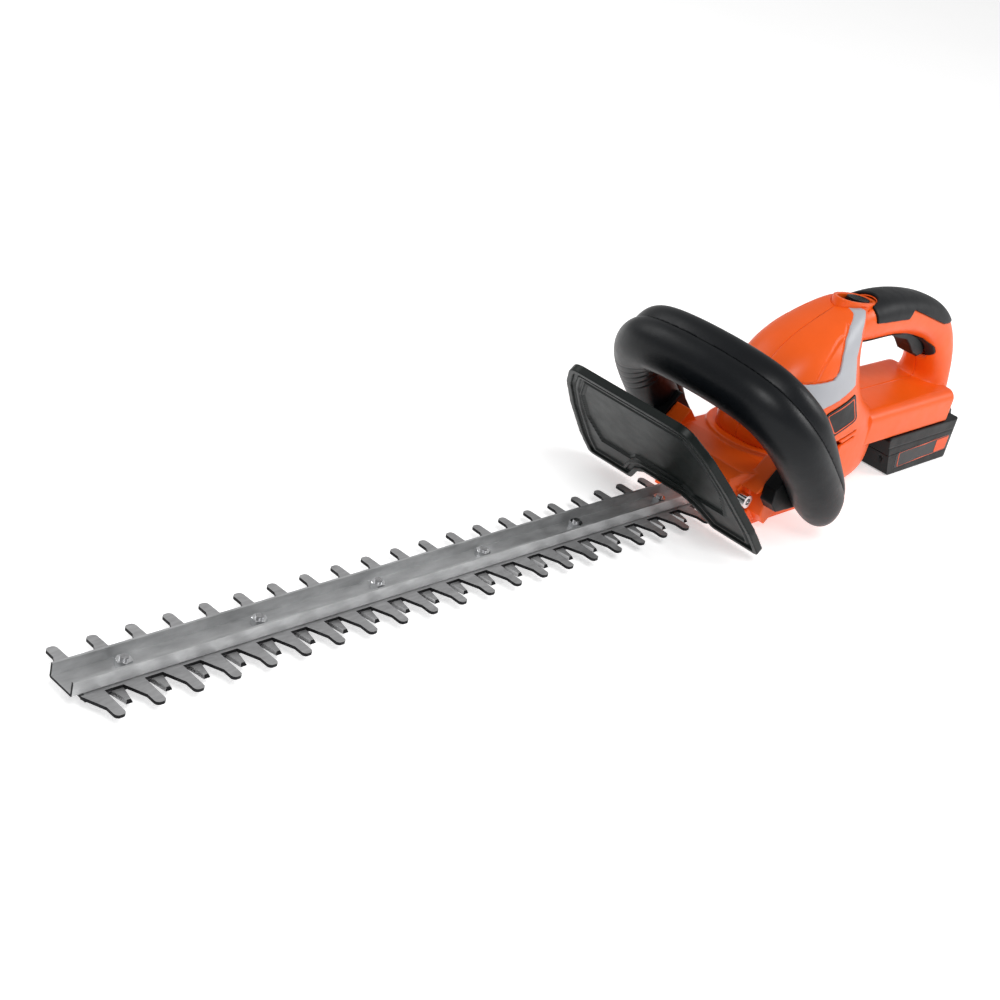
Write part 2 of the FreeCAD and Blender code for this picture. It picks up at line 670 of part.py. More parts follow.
def loop_form(section, half, deep, foot_share, stations=27):
    """Half of the grip along the loop, flat on the parting plane; its feet are smaller and slanted."""
    curve = loop_path()
    first, last = curve.FirstParameter, curve.LastParameter
    sections = []
    for index in range(stations):
        share = index / (stations - 1)
        parameter = first + (last - first) * share
        point = curve.value(parameter)
        along = Vector(*curve.tangent(parameter)[0])
        across = Vector(-along.y, along.x, 0).normalize()
        ends = min(index, stations - 1 - index)
        size, slant = ((0.7, 0.55), (0.93, 0.4))[ends] if ends < 2 else (1.0, 0.0)
        rise = min(1.0, max(0.0, (point.y + 127) / 90))
        depth = deep * (foot_share + (1 - foot_share) * rise) * size
        points = []
        for wide, back in section(half * size, depth):
            points.append(point + across * wide + Vector(0, slant * back, back))
        bulge = Part.BSplineCurve()
        bulge.interpolate(points)
        sections.append(Part.Wire([bulge.toShape(), Part.LineSegment(points[-1], points[0]).toShape()]))
    return loft(sections)


def make_front_handle():
    half, front, rear = dim("loop_half"), dim("loop_front_deep"), dim("loop_rear_deep")
    wall = dim("wall")
    seam_half = half * 0.84
    front_shell = loop_form(front_section, half, front, 1.0).cut(
        loop_form(front_section, half - wall, front - wall, 1.0))
    bar_room = box(-43.5, 43.5, -40, -12, -22.6, -7.4)
    front_shell = front_shell.cut(bar_room)
    shaped("front_handle_shell", moved_shape(biggest(front_shell), LOOP))
    rear_shell = loop_form(rear_section, seam_half, rear, 0.2).cut(
        loop_form(rear_section, seam_half - wall, rear - wall, 0.1))
    shaped("front_handle_back", moved_shape(rear_shell, LOOP))
    bar = box(-43, 43, -23, -15, -22, -8)
    bar = bar.makeFillet(3.5, [edge for edge in bar.Edges if edge.BoundBox.XLength > 50 and
                               edge.BoundBox.Center.y < -20])
    shaped("front_switch_bar", moved_shape(bar, LOOP))
    switch = box(-10, 10, -11, -1, -20, -10).fuse(box(-2, 2, -11.9, -11, -17, -13))
    shaped("front_switch", moved_shape(switch, LOOP))


BRACKET_SIDE = ((-126, -8), (-122, -24), (-104, -40), (-92, -40), (-84, -32), (-84, -2), (-120, -2))


def make_brackets():
    """Black feet that carry the loop on the gear case's flanges."""
    for side, name in ((1, "handle_bracket_right"), (-1, "handle_bracket_left")):
        inner, outer = side * 51, side * 62
        profile = [Vector(inner, up, back) for up, back in BRACKET_SIDE]
        foot = Part.Face(Part.makePolygon(profile + profile[:1])).extrude(Vector(outer - inner, 0, 0))
        foot = foot.makeFillet(3.0, [edge for edge in foot.Edges if edge.BoundBox.XLength > 9])
        foot = foot.cut(loop_form(front_section, dim("loop_half"), dim("loop_front_deep"), 1.0))
        shaped(name, moved_shape(biggest(foot), LOOP))


make_front_handle()
make_brackets()


# ---------------------------------------------------------------- hand guard
GUARD_HALF = ((82, -6, 4), (81.5, 22, 40), (74, 68, 60), (65, 102, 40), (52, 128, 14))
GUARD_NOTCH = ((18, 20, 5), (27, 13, 4), (39, -6, 5))


def guard_face(inset=0.0):
    """The guard's outline, wide at the foot, with a notch that the blades pass through."""
    right = GUARD_NOTCH + GUARD_HALF
    outline = [(x, y, r) for x, y, r in right] + [(-x, y, r) for x, y, r in reversed(right)]
    face = rounded_face(outline)
    if inset:
        face = Part.Face(face.OuterWire.makeOffset2D(-inset))
    return face


def make_guard():
    thick, rim = dim("guard_thick"), dim("guard_rim")
    plate = slab(guard_face(), -thick / 2, thick / 2)
    edge_band = slab(guard_face(), -thick / 2 - rim, thick / 2 + rim * 0.4).cut(
        slab(guard_face(4.0), -thick / 2 - rim - 1, thick / 2 + rim + 1))
    second = slab(guard_face(7.5), -thick / 2 - rim * 0.6, 0).cut(
        slab(guard_face(10.0), -thick / 2 - rim - 1, thick))
    shape = plate.fuse(edge_band).fuse(second)
    shape = moved_shape(shape, GUARD)
    lug = box(84, 96, -30, 30, 20, 34)
    shape = shape.fuse(lug.cut(CASE_OUTER).cut(box(60, 99, -11.2, 11.2, 0, 22)))
    shaped("guard", biggest(shape.cut(CASE_OUTER).removeSplitter()))


def make_guard_screws():
    screws = []
    for number, (x, y, z) in enumerate(pocket_screws()):
        side = 1 if y > 0 else -1
        turn = Rotation(Vector(1, 0, 0), -90.0 * side)
        head = cylinder("guard_screw_head_%d" % number, "5.2", "7.0", x + 8, y + side * 1.0, z, turn)
        socket = cylinder("guard_screw_socket_%d" % number, "2.6", "4.0", x + 8, y + side * 4.5, z, turn)
        screws.append(cut("guard_screw_%d" % number, head, socket))
    group("guard_screws", screws)


make_guard()
make_guard_screws()


# ---------------------------------------------------------------- casing: skins set into its surface
# Side outlines are lists of (x, height).
BAND_OUTLINE = ((150, 104), (186, 107), (192, 112), (195, 123), (201, 133), (211, 141), (221, 147), (228, 158),
                (236, 158), (234, 148), (224, 137), (215, 120), (220, 98), (198, 90), (176, 85), (150, 82))
GRIP_OUTLINE = ((249, 170), (251, 152), (256, 136), (303, 134), (309, 141), (366, 122), (389, 121), (399, 170))
LINER_OUTLINE = ((244, 108), (248, 120.5), (300, 119.5), (352, 108), (378, 96), (371, 84), (330, 90), (252, 100))
BADGE_OUTLINE = ((184, 79), (225, 90), (238, 67), (206, 57))
BEZEL = Placement(Vector(243, 0, 150.5), Rotation(Vector(0, 1, 0), 8.0))
BEZEL_LONG, BEZEL_HALF = 25.5, 12.2
TRIGGER_ROOM = box(300, 377, -8.6, 8.6, 70, 128)
BODY, HANDLE, FOOT = hollowed(0.0)


def drum(half_long, half, low, high):
    """Oval drum square to the tilted top of the neck."""
    ring = oval(Vector(0, 0, low), Vector(1, 0, 0), Vector(0, 1, 0), half_long, half, 2.2, 20)
    solid = Part.Face(ring).extrude(Vector(0, 0, high - low))
    return moved_shape(solid, BEZEL)


def skin(form, outline, half, proud, sunk):
    """Part of a form's surface inside a side outline, standing proud of it and sunk into it."""
    return form(proud).common(prism(outline, -half, half)).cut(form(-sunk))


def badge(side):
    """Name plate on the side of the body, left blank."""
    points = [(x, z, 3.5) for x, z in BADGE_OUTLINE]
    plate = rounded_face(points).extrude(Vector(0, 0, 30))
    plate = moved_shape(plate, Placement(Vector(0, -30, 0), Rotation(Vector(1, 0, 0), 90)))
    if side > 0:
        plate = mirrored(plate)
    return biggest(body_form(0.7).common(plate).cut(body_form(-0.8)))


def make_skins():
    """Silver band, soft grip, liner and badges; returned so that the casing can be cut to take them."""
    well = drum(BEZEL_LONG, BEZEL_HALF, -14, 40)
    pieces = {
        "trim_band": biggest(skin(body_form, BAND_OUTLINE, 60, dim("skin"), 1.0).cut(HANDLE).cut(well)),
        "soft_grip": biggest(skin(handle_form, GRIP_OUTLINE, 60, dim("grip_skin"), 1.2).cut(well)),
        "handle_liner": biggest(skin(handle_form, LINER_OUTLINE, 15.5, 0.8, 1.6).cut(BODY).cut(TRIGGER_ROOM)),
        "side_badge_left": badge(-1),
        "side_badge_right": badge(1),
    }
    for name, shape in pieces.items():
        shaped(name, shape)
    return list(pieces.values())


# ---------------------------------------------------------------- casing halves
CASING_SCREWS = ((205, 62), (250, 22), (286, 44), (232, 108), (288, 128), (391, 88))
TRIGGER_PIVOT = (308, 122)
PACK_BAY = box(306, 460, -33, 33, 30, 57)


def across(x, z, radius, low=-50, high=50):
    """Round bar or hole across the tool."""
    return Part.makeCylinder(radius, high - low, Vector(x, low, z), Vector(0, 1, 0))


def casing_inside():
    """Screw posts, trigger bosses and the shelf under the control board, before trimming."""
    parts = [across(x, z, 4.2) for x, z in CASING_SCREWS]
    parts.append(across(TRIGGER_PIVOT[0], TRIGGER_PIVOT[1], 5.0))
    parts.append(box(222, 268, -45, -18, 61, 64))
    parts.append(box(222, 268, 18, 45, 61, 64))
    return parts


def casing_vents():
    """Two slanting slots low on each side."""
    low = ((214, 43), (243, 50), (243, 52), (214, 45))
    slots = []
    for drop in (0, 5.5):
        outline = [(x, z + drop) for x, z in low]
        slots.append(prism(outline, 30, 50))
        slots.append(prism(outline, -50, -30))
    return slots


def make_casing(skins):
    shell = BODY.fuse(HANDLE).fuse(FOOT)
    inner = hollowed(-dim("wall"))
    for form in inner:
        shell = shell.cut(form)
    for part in casing_inside():
        for form in inner[:2]:
            trimmed = part.common(form)
            if trimmed.Solids:
                shell = shell.fuse(trimmed)
    away = [CASE_OUTER, box(90, 226, -41.5, 41.5, -5, 50), PACK_BAY, TRIGGER_ROOM,
            drum(BEZEL_LONG, BEZEL_HALF, -14, 40), across(TRIGGER_PIVOT[0], TRIGGER_PIVOT[1], 2.0, -13, 13)]
    for x, z in CASING_SCREWS:
        away.append(across(x, z, 1.5, -5, 34))
        away.append(across(x, z, 3.6, 14))
    for tool in away + casing_vents() + skins:
        shell = shell.cut(tool)
    shaped("casing_left", biggest(shell.common(box(60, 470, -80, 0, -20, 200))))
    shaped("casing_right", biggest(shell.common(box(60, 470, 0, 80, -20, 200))))


def make_casing_screws():
    turn = Rotation(Vector(1, 0, 0), 90.0)
    screws = []
    for number, (x, z) in enumerate(CASING_SCREWS):
        head = cylinder("casing_screw_head_%d" % number, "3.4", "2.4", x, 16.4, z, turn)
        stem = cylinder("casing_screw_stem_%d" % number, "1.5", "18.0", x, 15.0, z, turn)
        screws.append(fuse("casing_screw_%d" % number, [head, stem]))
    group("casing_screws", screws)


make_casing(make_skins())
make_casing_screws()


# ---------------------------------------------------------------- lock-off button, trigger and electrics
def make_lock_off():
    """Oval surround with a sliding button that has to be pushed forward before the trigger works."""
    surround = drum(BEZEL_LONG - 0.1, BEZEL_HALF - 0.1, -14, 0.5).cut(drum(22.0, 9.2, -11, 5))
    slot = moved_shape(box(-9.5, 9.5, -3.3, 3.3, -20, 0), BEZEL)
    shaped("lock_off_surround", surround.cut(slot))
    cap = drum(12, 7.6, -10.8, 0.6)
    cap.translate(BEZEL.Rotation.multVec(Vector(5, 0, 0)))
    for number in range(5):
        x = 5 + (number - 2) * 4
        cap = cap.cut(moved_shape(box(x - 0.6, x + 0.6, -5.5, 5.5, -0.2, 3), BEZEL))
    stem = moved_shape(box(0.5, 7.5, -3, 3, -18, -10), BEZEL)
    shaped("lock_off_button", cap.fuse(stem))


def make_trigger():
    """Long trigger hinged at its front end, with its pin and the switch above it."""
    x, z = TRIGGER_PIVOT
    outline = ((303, 127), (302, 116), (316, 111.5), (332, 108), (343, 100), (352, 92), (362, 88), (370, 89),
               (371, 96), (366, 106), (352, 117), (335, 124), (320, 127))
    lever = prism(outline, -8, 8).cut(across(x, z, 2.05))
    long_edges = [edge for edge in lever.Edges
                  if edge.BoundBox.YLength < 0.1 and edge.BoundBox.ZMax < 112 and edge.BoundBox.XMin > 330]
    shaped("trigger", lever.makeChamfer(1.2, long_edges))
    turn = Rotation(Vector(1, 0, 0), 90.0)
    node(cylinder("trigger_pin_rod", "2.0", "25.6", x, 12.8, z, turn), "trigger_pin")
    switch = box(317, 339, -7, 7, 130.5, 139).fuse(box(324, 328, -2, 2, 129, 130.5))
    shaped("trigger_switch", switch)


def make_board():
    """Control board with a few parts on it, resting on shelves of the casing."""
    board = box(224, 266, -22, 22, 64, 65.6)
    for x0, x1, y0, y1, high in ((228, 240, -16, -6, 12), (228, 240, 4, 14, 9), (246, 262, -14, 10, 5)):
        board = board.fuse(box(x0, x1, y0, y1, 65.6, 65.6 + high))
    shaped("control_board", board.removeSplitter())


make_lock_off()
make_trigger()
make_board()


# ---------------------------------------------------------------- battery pack
PACK_SIDE = ((321, 1.5), (324, 0), (416, 0), (422, 5), (422, 33), (419, 36.5), (308, 36.5), (306.5, 34))
HUMP_SIDE = ((388, 36.5), (388, 54), (400, 53), (414, 46), (424, 38), (427.5, 30), (427.5, 20), (412, 20), (412, 36))
LATCH_ROOM = box(421.4, 440, -11.4, 11.4, 20.6, 36.4)
CONTACT_YS = (-15, -5, 5, 15)
PACK_SCREWS = ((316, 31), (316, -31), (416, 31), (416, -31))


def rail_bar(x0, x1, grow):
    """T-shaped slide along X."""
    head = box(x0, x1, -24 - grow, 24 + grow, 45 - grow, 54 + grow)
    return head.fuse(box(x0, x1, -20 - grow, 20 + grow, 36, 46))


def pack_form():
    half = dim("pack_half")
    plan = rounded_face([(300, -half, 6), (422, -half, 9), (422, half, 9), (300, half, 6)])
    form = prism(PACK_SIDE, -half, half).common(slab(plan, -1, 60))
    form = form.fuse(prism(HUMP_SIDE, -26, 26)).fuse(rail_bar(326, 390, 0.0))
    return form.removeSplitter()


def make_pack_cases():
    """Lower tub and upper cover of the battery, split on a level plane."""
    split, wall = dim("pack_split_z"), 2.4
    inside = prism(((324, wall), (419, wall), (419, 34), (313, 34)), -35.4, 35.4)
    form = pack_form().cut(inside)
    form = form.cut(LATCH_ROOM)
    groove = prism(((300, 26.2), (430, 26.2), (430, 27.4), (300, 27.4)), -60, 60).cut(
        box(300, 418, -37.2, 37.2, 20, 30))
    form = form.cut(groove)
    for side in (-1, 1):
        form = form.cut(label(side))
    for y in CONTACT_YS:
        form = form.cut(box(320, 341, y - 0.9, y + 0.9, 46, 53))
    for x, y in PACK_SCREWS:
        form = form.cut(Part.makeCylinder(1.5, 30, Vector(x, y, -1)))
        form = form.cut(Part.makeCylinder(3.0, 2.3, Vector(x, y, 0)))
    shaped("battery_tub", biggest(form.common(box(290, 450, -60, 60, -5, split))))
    shaped("battery_cover", biggest(form.common(box(290, 450, -60, 60, split, 80))))


def label(side):
    """Sunk label on the side of the battery, without lettering."""
    points = [(330, 5, 3), (414, 8, 3), (414, 23, 3), (326, 20, 3)]
    plate = rounded_face(points).extrude(Vector(0, 0, 0.8))
    plate = moved_shape(plate, Placement(Vector(0, -dim("pack_half") + 0.8, 0), Rotation(Vector(1, 0, 0), 90)))
    return mirrored(plate) if side > 0 else plate


def make_pack_parts():
    for side, name in ((-1, "battery_label_left"), (1, "battery_label_right")):
        shaped(name, label(side))
    latch = box(424.6, 434.5, -11, 11, 21, 36)
    upright = [edge for edge in latch.Edges if edge.BoundBox.XMin > 434.4]
    shaped("battery_latch", latch.makeFillet(2.5, upright))
    turn = Rotation(Vector(1, 0, 0), 90.0)
    cells = []
    for number in range(int(dim("cell_count"))):
        x = "dims.first_cell_x + %d * dims.cell_step" % number
        cells.append(cylinder("cell_%d" % number, "dims.cell_radius", "dims.cell_long", x,
                              "dims.cell_long / 2", "dims.cell_z", turn))
    group("battery_cells", cells)


def make_dock():
    """Channel in the foot that the battery's rail slides in, with the contact blades at its front."""
    dock = box(307, 386, -32.8, 32.8, 37.4, 56.8).cut(rail_bar(325.4, 400, 0.3))
    shaped("battery_dock", dock)
    blades = []
    for number, y in enumerate(CONTACT_YS):
        blades.append(block("contact_%d" % number, "14.0", "0.8", "6.0", 325.4, y - 0.4, 46.5))
    group("contact_blades", blades)


make_pack_cases()
make_pack_parts()
make_dock()


# ---------------------------------------------------------------- recompute, check and write
doc.recompute()
for item in doc.Objects:
    if "Invalid" in item.State or "Error" in item.State:
        raise RuntimeError("%s: %s" % (item.Name, item.State))
os.makedirs("parts", exist_ok=True)
for part in NODES:
    shape = part.Shape
    if shape.isNull() or not shape.isValid():
        raise RuntimeError("bad shape: " + part.Label)
    shape.exportStep("parts/%s.step" % part.Label)
print("%d sub-parts written" % len(NODES))
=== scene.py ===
import bmesh
import bpy
from math import cos, radians, sin, sqrt
from mathutils import Matrix, Vector
from mathutils.bvhtree import BVHTree


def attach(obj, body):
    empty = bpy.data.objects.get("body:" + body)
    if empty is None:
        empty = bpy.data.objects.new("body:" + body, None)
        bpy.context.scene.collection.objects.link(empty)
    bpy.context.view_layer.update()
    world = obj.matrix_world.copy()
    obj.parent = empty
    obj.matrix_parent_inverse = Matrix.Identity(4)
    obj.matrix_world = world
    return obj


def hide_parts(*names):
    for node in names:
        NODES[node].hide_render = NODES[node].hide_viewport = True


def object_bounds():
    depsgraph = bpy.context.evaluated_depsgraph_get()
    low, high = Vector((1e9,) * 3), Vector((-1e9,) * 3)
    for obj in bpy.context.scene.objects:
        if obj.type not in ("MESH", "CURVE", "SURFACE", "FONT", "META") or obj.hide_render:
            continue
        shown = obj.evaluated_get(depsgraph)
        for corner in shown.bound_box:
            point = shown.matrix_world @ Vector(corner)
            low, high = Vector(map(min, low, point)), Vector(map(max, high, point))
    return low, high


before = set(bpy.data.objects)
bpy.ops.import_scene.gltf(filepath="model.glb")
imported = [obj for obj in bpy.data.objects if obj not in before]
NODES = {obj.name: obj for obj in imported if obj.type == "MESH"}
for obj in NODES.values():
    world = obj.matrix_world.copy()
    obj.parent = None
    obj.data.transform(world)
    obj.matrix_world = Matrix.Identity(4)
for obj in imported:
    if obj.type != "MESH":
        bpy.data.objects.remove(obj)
CAD_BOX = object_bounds()
MM = 0.001
BODY_ROOT = "housing"
PACK_HALF_WIDTH = 38.0
INLAY_SINK = 0.3


# ---------------------------------------------------------------- materials
def new_material(name):
    """Empty Principled material; returns it with its tree and shader."""
    material = bpy.data.materials.new(name)
    material.use_nodes = True
    tree = material.node_tree
    shader = tree.nodes["Principled BSDF"]
    return material, tree, shader


def noise(tree, scale, detail=3.0, roughness=0.5, stretch=(1, 1, 1)):
    """Noise on object coordinates, stretched along an axis where asked."""
    where = tree.nodes.new("ShaderNodeTexCoord")
    mapping = tree.nodes.new("ShaderNodeMapping")
    mapping.inputs["Scale"].default_value = stretch
    texture = tree.nodes.new("ShaderNodeTexNoise")
    texture.inputs["Scale"].default_value = scale
    texture.inputs["Detail"].default_value = detail
    texture.inputs["Roughness"].default_value = roughness
    tree.links.new(where.outputs["Object"], mapping.inputs["Vector"])
    tree.links.new(mapping.outputs["Vector"], texture.inputs["Vector"])
    return texture.outputs["Fac"]


def remap(tree, value, low, high, start=0.3, end=0.7):
    """Map a noise value onto a range of numbers."""
    node = tree.nodes.new("ShaderNodeMapRange")
    node.inputs["From Min"].default_value = start
    node.inputs["From Max"].default_value = end
    node.inputs["To Min"].default_value = low
    node.inputs["To Max"].default_value = high
    tree.links.new(value, node.inputs["Value"])
    return node.outputs["Result"]


def tint(tree, value, dark, light):
    """Blend two colours by a noise value."""
    ramp = tree.nodes.new("ShaderNodeValToRGB")
    ramp.color_ramp.elements[0].position = 0.3
    ramp.color_ramp.elements[1].position = 0.7
    ramp.color_ramp.elements[0].color = (*dark, 1)
    ramp.color_ramp.elements[1].color = (*light, 1)
    tree.links.new(value, ramp.inputs["Fac"])
    return ramp.outputs["Color"]


def bump(tree, shader, value, strength, distance):
    """Fine relief from a noise value."""
    node = tree.nodes.new("ShaderNodeBump")
    node.inputs["Strength"].default_value = strength
    node.inputs["Distance"].default_value = distance
    tree.links.new(value, node.inputs["Height"])
    tree.links.new(node.outputs["Normal"], shader.inputs["Normal"])


def moulded(name, colour, roughness, grain=2600.0, strength=0.25, spread=0.12, specular=0.25):
    """Moulded plastic or rubber: fine spark-eroded grain, uneven gloss and slightly uneven colour."""
    material, tree, shader = new_material(name)
    dark = tuple(c * (1 - spread) for c in colour)
    light = tuple(min(1.0, c * (1 + spread)) for c in colour)
    tree.links.new(tint(tree, noise(tree, 28.0), dark, light), shader.inputs["Base Color"])
    tree.links.new(remap(tree, noise(tree, 90.0), roughness * 0.88, roughness * 1.12),
                   shader.inputs["Roughness"])
    bump(tree, shader, noise(tree, grain, 2.0), strength, 0.0001)
    shader.inputs["Specular IOR Level"].default_value = specular
    return material


def metal(name, dark, light, roughness, stretch=(1, 1, 1), scale=900.0, strength=0.2, spots=0.0,
          metallic=1.0):
    """Bare metal with marks drawn out along one axis and patches of duller surface."""
    material, tree, shader = new_material(name)
    shader.inputs["Metallic"].default_value = metallic
    streaks = noise(tree, scale, 4.0, 0.6, stretch)
    tree.links.new(tint(tree, streaks, dark, light), shader.inputs["Base Color"])
    patches = noise(tree, 60.0, 4.0, 0.6)
    uneven = remap(tree, patches, roughness * 0.75, roughness * 1.3 + spots)
    tree.links.new(uneven, shader.inputs["Roughness"])
    bump(tree, shader, streaks, strength, 0.00005)
    return material


ORANGE = moulded("orange_plastic", (0.86, 0.105, 0.005), 0.37, grain=1900.0, strength=0.14, spread=0.05,
                 specular=0.3)
CHARCOAL = moulded("charcoal_plastic", (0.0035, 0.0045, 0.006), 0.38, strength=0.25, specular=0.2)
GUARD_BLACK = moulded("guard_plastic", (0.0025, 0.005, 0.0045), 0.34, strength=0.2, specular=0.17)
BLACK = moulded("black_plastic", (0.0035, 0.004, 0.0045), 0.42, strength=0.3, specular=0.18)
RUBBER = moulded("grip_rubber", (0.005, 0.006, 0.0075), 0.48, grain=1500.0, strength=0.45, specular=0.2)
SILVER = moulded("silver_paint", (0.42, 0.43, 0.46), 0.36, strength=0.12, spread=0.04)
LABEL = moulded("label_film", (0.008, 0.008, 0.01), 0.3, strength=0.05)
LABEL_ORANGE = moulded("label_orange", (0.80, 0.085, 0.008), 0.38, strength=0.05, spread=0.05)
BOARD = moulded("board_green", (0.01, 0.09, 0.035), 0.4, strength=0.3)
CELL = moulded("cell_wrap", (0.02, 0.12, 0.35), 0.3, strength=0.05)
BLADE = metal("blade_steel", (0.36, 0.36, 0.365), (0.48, 0.48, 0.485), 0.5, (0.2, 1, 1), 400.0, 0.1, 0.05,
              metallic=0.75)
# Near-black steel put on the thin edge faces of the blades and bar: painted shade standing in for the
# shadow on those faces.
EDGE_PAINTED_SHADE = metal("blade_edge_painted_shade", (0.010, 0.010, 0.011), (0.035, 0.035, 0.037), 0.55, (1, 1, 6), 800.0, 0.2)
GROUND = metal("ground_steel", (0.80, 0.80, 0.81), (0.97, 0.97, 0.98), 0.28, (1, 0.06, 1), 900.0, 0.15)
BAR = metal("bar_steel", (0.42, 0.425, 0.43), (0.58, 0.585, 0.59), 0.44, (0.3, 1, 1), 160.0, 0.08, 0.06,
            metallic=0.8)
PLATED = metal("bright_plating", (0.62, 0.63, 0.64), (0.85, 0.86, 0.87), 0.16, scale=500.0, strength=0.08)
MACHINED = metal("machined_steel", (0.35, 0.35, 0.36), (0.6, 0.6, 0.61), 0.3, scale=800.0)
COPPER = metal("copper", (0.5, 0.2, 0.08), (0.75, 0.36, 0.16), 0.3, scale=800.0)


# ---------------------------------------------------------------- mesh helpers
def select_only(piece):
    """Make one piece the only selected and the active one."""
    for other in bpy.context.selected_objects:
        other.select_set(False)
    piece.select_set(True)
    bpy.context.view_layer.objects.active = piece


def apply_modifier(piece, kind, **settings):
    """Add a modifier, set its values and apply it to the mesh."""
    modifier = piece.modifiers.new(kind.lower(), kind)
    for key, value in settings.items():
        setattr(modifier, key, value)
    select_only(piece)
    bpy.ops.object.modifier_apply(modifier=modifier.name)


def refined(name, node, body, material, voxel, rounds=4):
    """A finely meshed, edge-rounded version of a CAD node, riding on the same body."""
    mesh = NODES[node].data.copy()
    piece = bpy.data.objects.new(name, mesh)
    bpy.context.collection.objects.link(piece)
    apply_modifier(piece, "REMESH", mode="VOXEL", voxel_size=voxel * MM, use_smooth_shade=True)
    apply_modifier(piece, "SMOOTH", factor=0.5, iterations=rounds)
    piece.data.materials.clear()
    piece.data.materials.append(material)
    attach(piece, body)
    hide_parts(node)
    return piece


def push(piece, amount):
    """Move each vertex along its normal by amount(position, normal) millimetres."""
    mesh = piece.data
    normals = [vertex.normal.copy() for vertex in mesh.vertices]
    for vertex, normal in zip(mesh.vertices, normals):
        step = amount(vertex.co / MM, normal)
        if step:
            vertex.co += normal * step * MM
    mesh.update()


def distance_to_path(x, z, path):
    """Distance in a side view from a point to a broken line of (x, height) points."""
    best = 1e9
    for (ax, az), (bx, bz) in zip(path, path[1:]):
        dx, dz = bx - ax, bz - az
        share = ((x - ax) * dx + (z - az) * dz) / (dx * dx + dz * dz)
        share = min(1.0, max(0.0, share))
        gap = sqrt((x - ax - share * dx) ** 2 + (z - az - share * dz) ** 2)
        best = min(best, gap)
    return best


def smooth_path(points, steps=8):
    """Catmull-Rom curve through the points, so that drawn lines bend smoothly."""
    line = []
    padded = [points[0]] + list(points) + [points[-1]]
    for a, b, c, d in zip(padded, padded[1:], padded[2:], padded[3:]):
        for step in range(steps):
            t = step / steps
            line.append(tuple(0.5 * (2 * q + (r - p) * t + (2 * p - 5 * q + 4 * r - s) * t * t
                                     + (3 * q - p - 3 * r + s) * t ** 3)
                              for p, q, r, s in zip(a, b, c, d)))
    line.append(tuple(points[-1]))
    return line


def dress(node, material, bevel=0.0):
    """Give a CAD node a better material and, where asked, softened edges."""
    piece = NODES[node]
    piece.data.materials.clear()
    piece.data.materials.append(material)
    if bevel:
        edge = piece.modifiers.new("edges", "BEVEL")
        edge.width = bevel * MM
        edge.segments = 2
        edge.limit_method = "ANGLE"
        edge.angle_limit = radians(35)
    return piece


def mesh_piece(name, mesh, body, material):
    """Turn a finished bmesh into a named piece riding on a body."""
    bmesh.ops.recalc_face_normals(mesh, faces=mesh.faces)
    data = bpy.data.meshes.new(name)
    mesh.to_mesh(data)
    mesh.free()
    piece = bpy.data.objects.new(name, data)
    bpy.context.collection.objects.link(piece)
    data.materials.append(material)
    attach(piece, body)
    return piece


def line_inlay(name, corners, radius, width, height, surface_y, body, material):
    """Rounded closed line of flat strip laid on a side surface; corners are (x, z) in millimetres."""
    outer = rounded_corners(corners, radius)
    middle = Vector((sum(x for x, z in outer) / len(outer), sum(z for x, z in outer) / len(outer)))
    mesh = bmesh.new()
    rows = []
    for x, z in outer:
        inward = (middle - Vector((x, z))).normalized() * width
        ix, iz = x + inward.x, z + inward.y
        outer_y, inner_y = surface_y(x, z), surface_y(ix, iz)
        out, sink = (height, INLAY_SINK) if outer_y > 0 else (-height, -INLAY_SINK)
        profile = ((x, outer_y - sink, z), (x, outer_y + out, z),
                   (ix, inner_y + out, iz), (ix, inner_y - sink, iz))
        rows.append([mesh.verts.new(Vector(p) * MM) for p in profile])
    for row, following in zip(rows, rows[1:] + rows[:1]):
        for k in range(4):
            mesh.faces.new((row[k], row[(k + 1) % 4], following[(k + 1) % 4], following[k]))
    return mesh_piece(name, mesh, body, material)


def patch_inlay(name, corners, radius, height, surface_y, body, material):
    """Rounded filled field laid on a flat side surface."""
    outer = rounded_corners(corners, radius)
    mesh = bmesh.new()
    level = surface_y(*outer[0])
    out, sink = (height, INLAY_SINK) if level > 0 else (-height, -INLAY_SINK)
    low = [mesh.verts.new(Vector((x, level - sink, z)) * MM) for x, z in outer]
    high = [mesh.verts.new(Vector((x, level + out, z)) * MM) for x, z in outer]
    for k in range(len(outer)):
        after = (k + 1) % len(outer)
        mesh.faces.new((low[k], low[after], high[after], high[k]))
    mesh.faces.new(low)
    mesh.faces.new(high)
    return mesh_piece(name, mesh, body, material)


def rounded_corners(corners, radius, steps=6, longest=2.0):
    """Points round a polygon: each corner a short curve, each straight cut into short lengths."""
    bends = []
    count = len(corners)
    for index in range(count):
        here = Vector(corners[index])
        before = (Vector(corners[index - 1]) - here).normalized() * radius
        after = (Vector(corners[(index + 1) % count]) - here).normalized() * radius
        bends += [here + before * (1 - step / steps) ** 2 + after * (step / steps) ** 2
                  for step in range(steps + 1)]
    ring = []
    for here, following in zip(bends, bends[1:] + bends[:1]):
        pieces = max(1, int((following - here).length / longest))
        ring += [tuple(here.lerp(following, number / pieces)) for number in range(pieces)]
    return ring


def surface_of(piece, side):
    """Function giving the outermost y of a finished piece at a point of the side view, in millimetres."""
    tree = BVHTree.FromObject(piece, bpy.context.evaluated_depsgraph_get())

    def outer_y(x, z):
        start = Vector((x * MM, side * 0.2, z * MM))
        hit = tree.ray_cast(start, Vector((0, -side, 0)))
        return hit[0].y / MM if hit[0] else side * PACK_HALF_WIDTH

    return outer_y


def shrunk(corners, share):
    """The same polygon drawn in towards its middle."""
    count = len(corners)
    middle = Vector((sum(x for x, z in corners) / count, sum(z for x, z in corners) / count))
    return [tuple(middle + (Vector(corner) - middle) * share) for corner in corners]


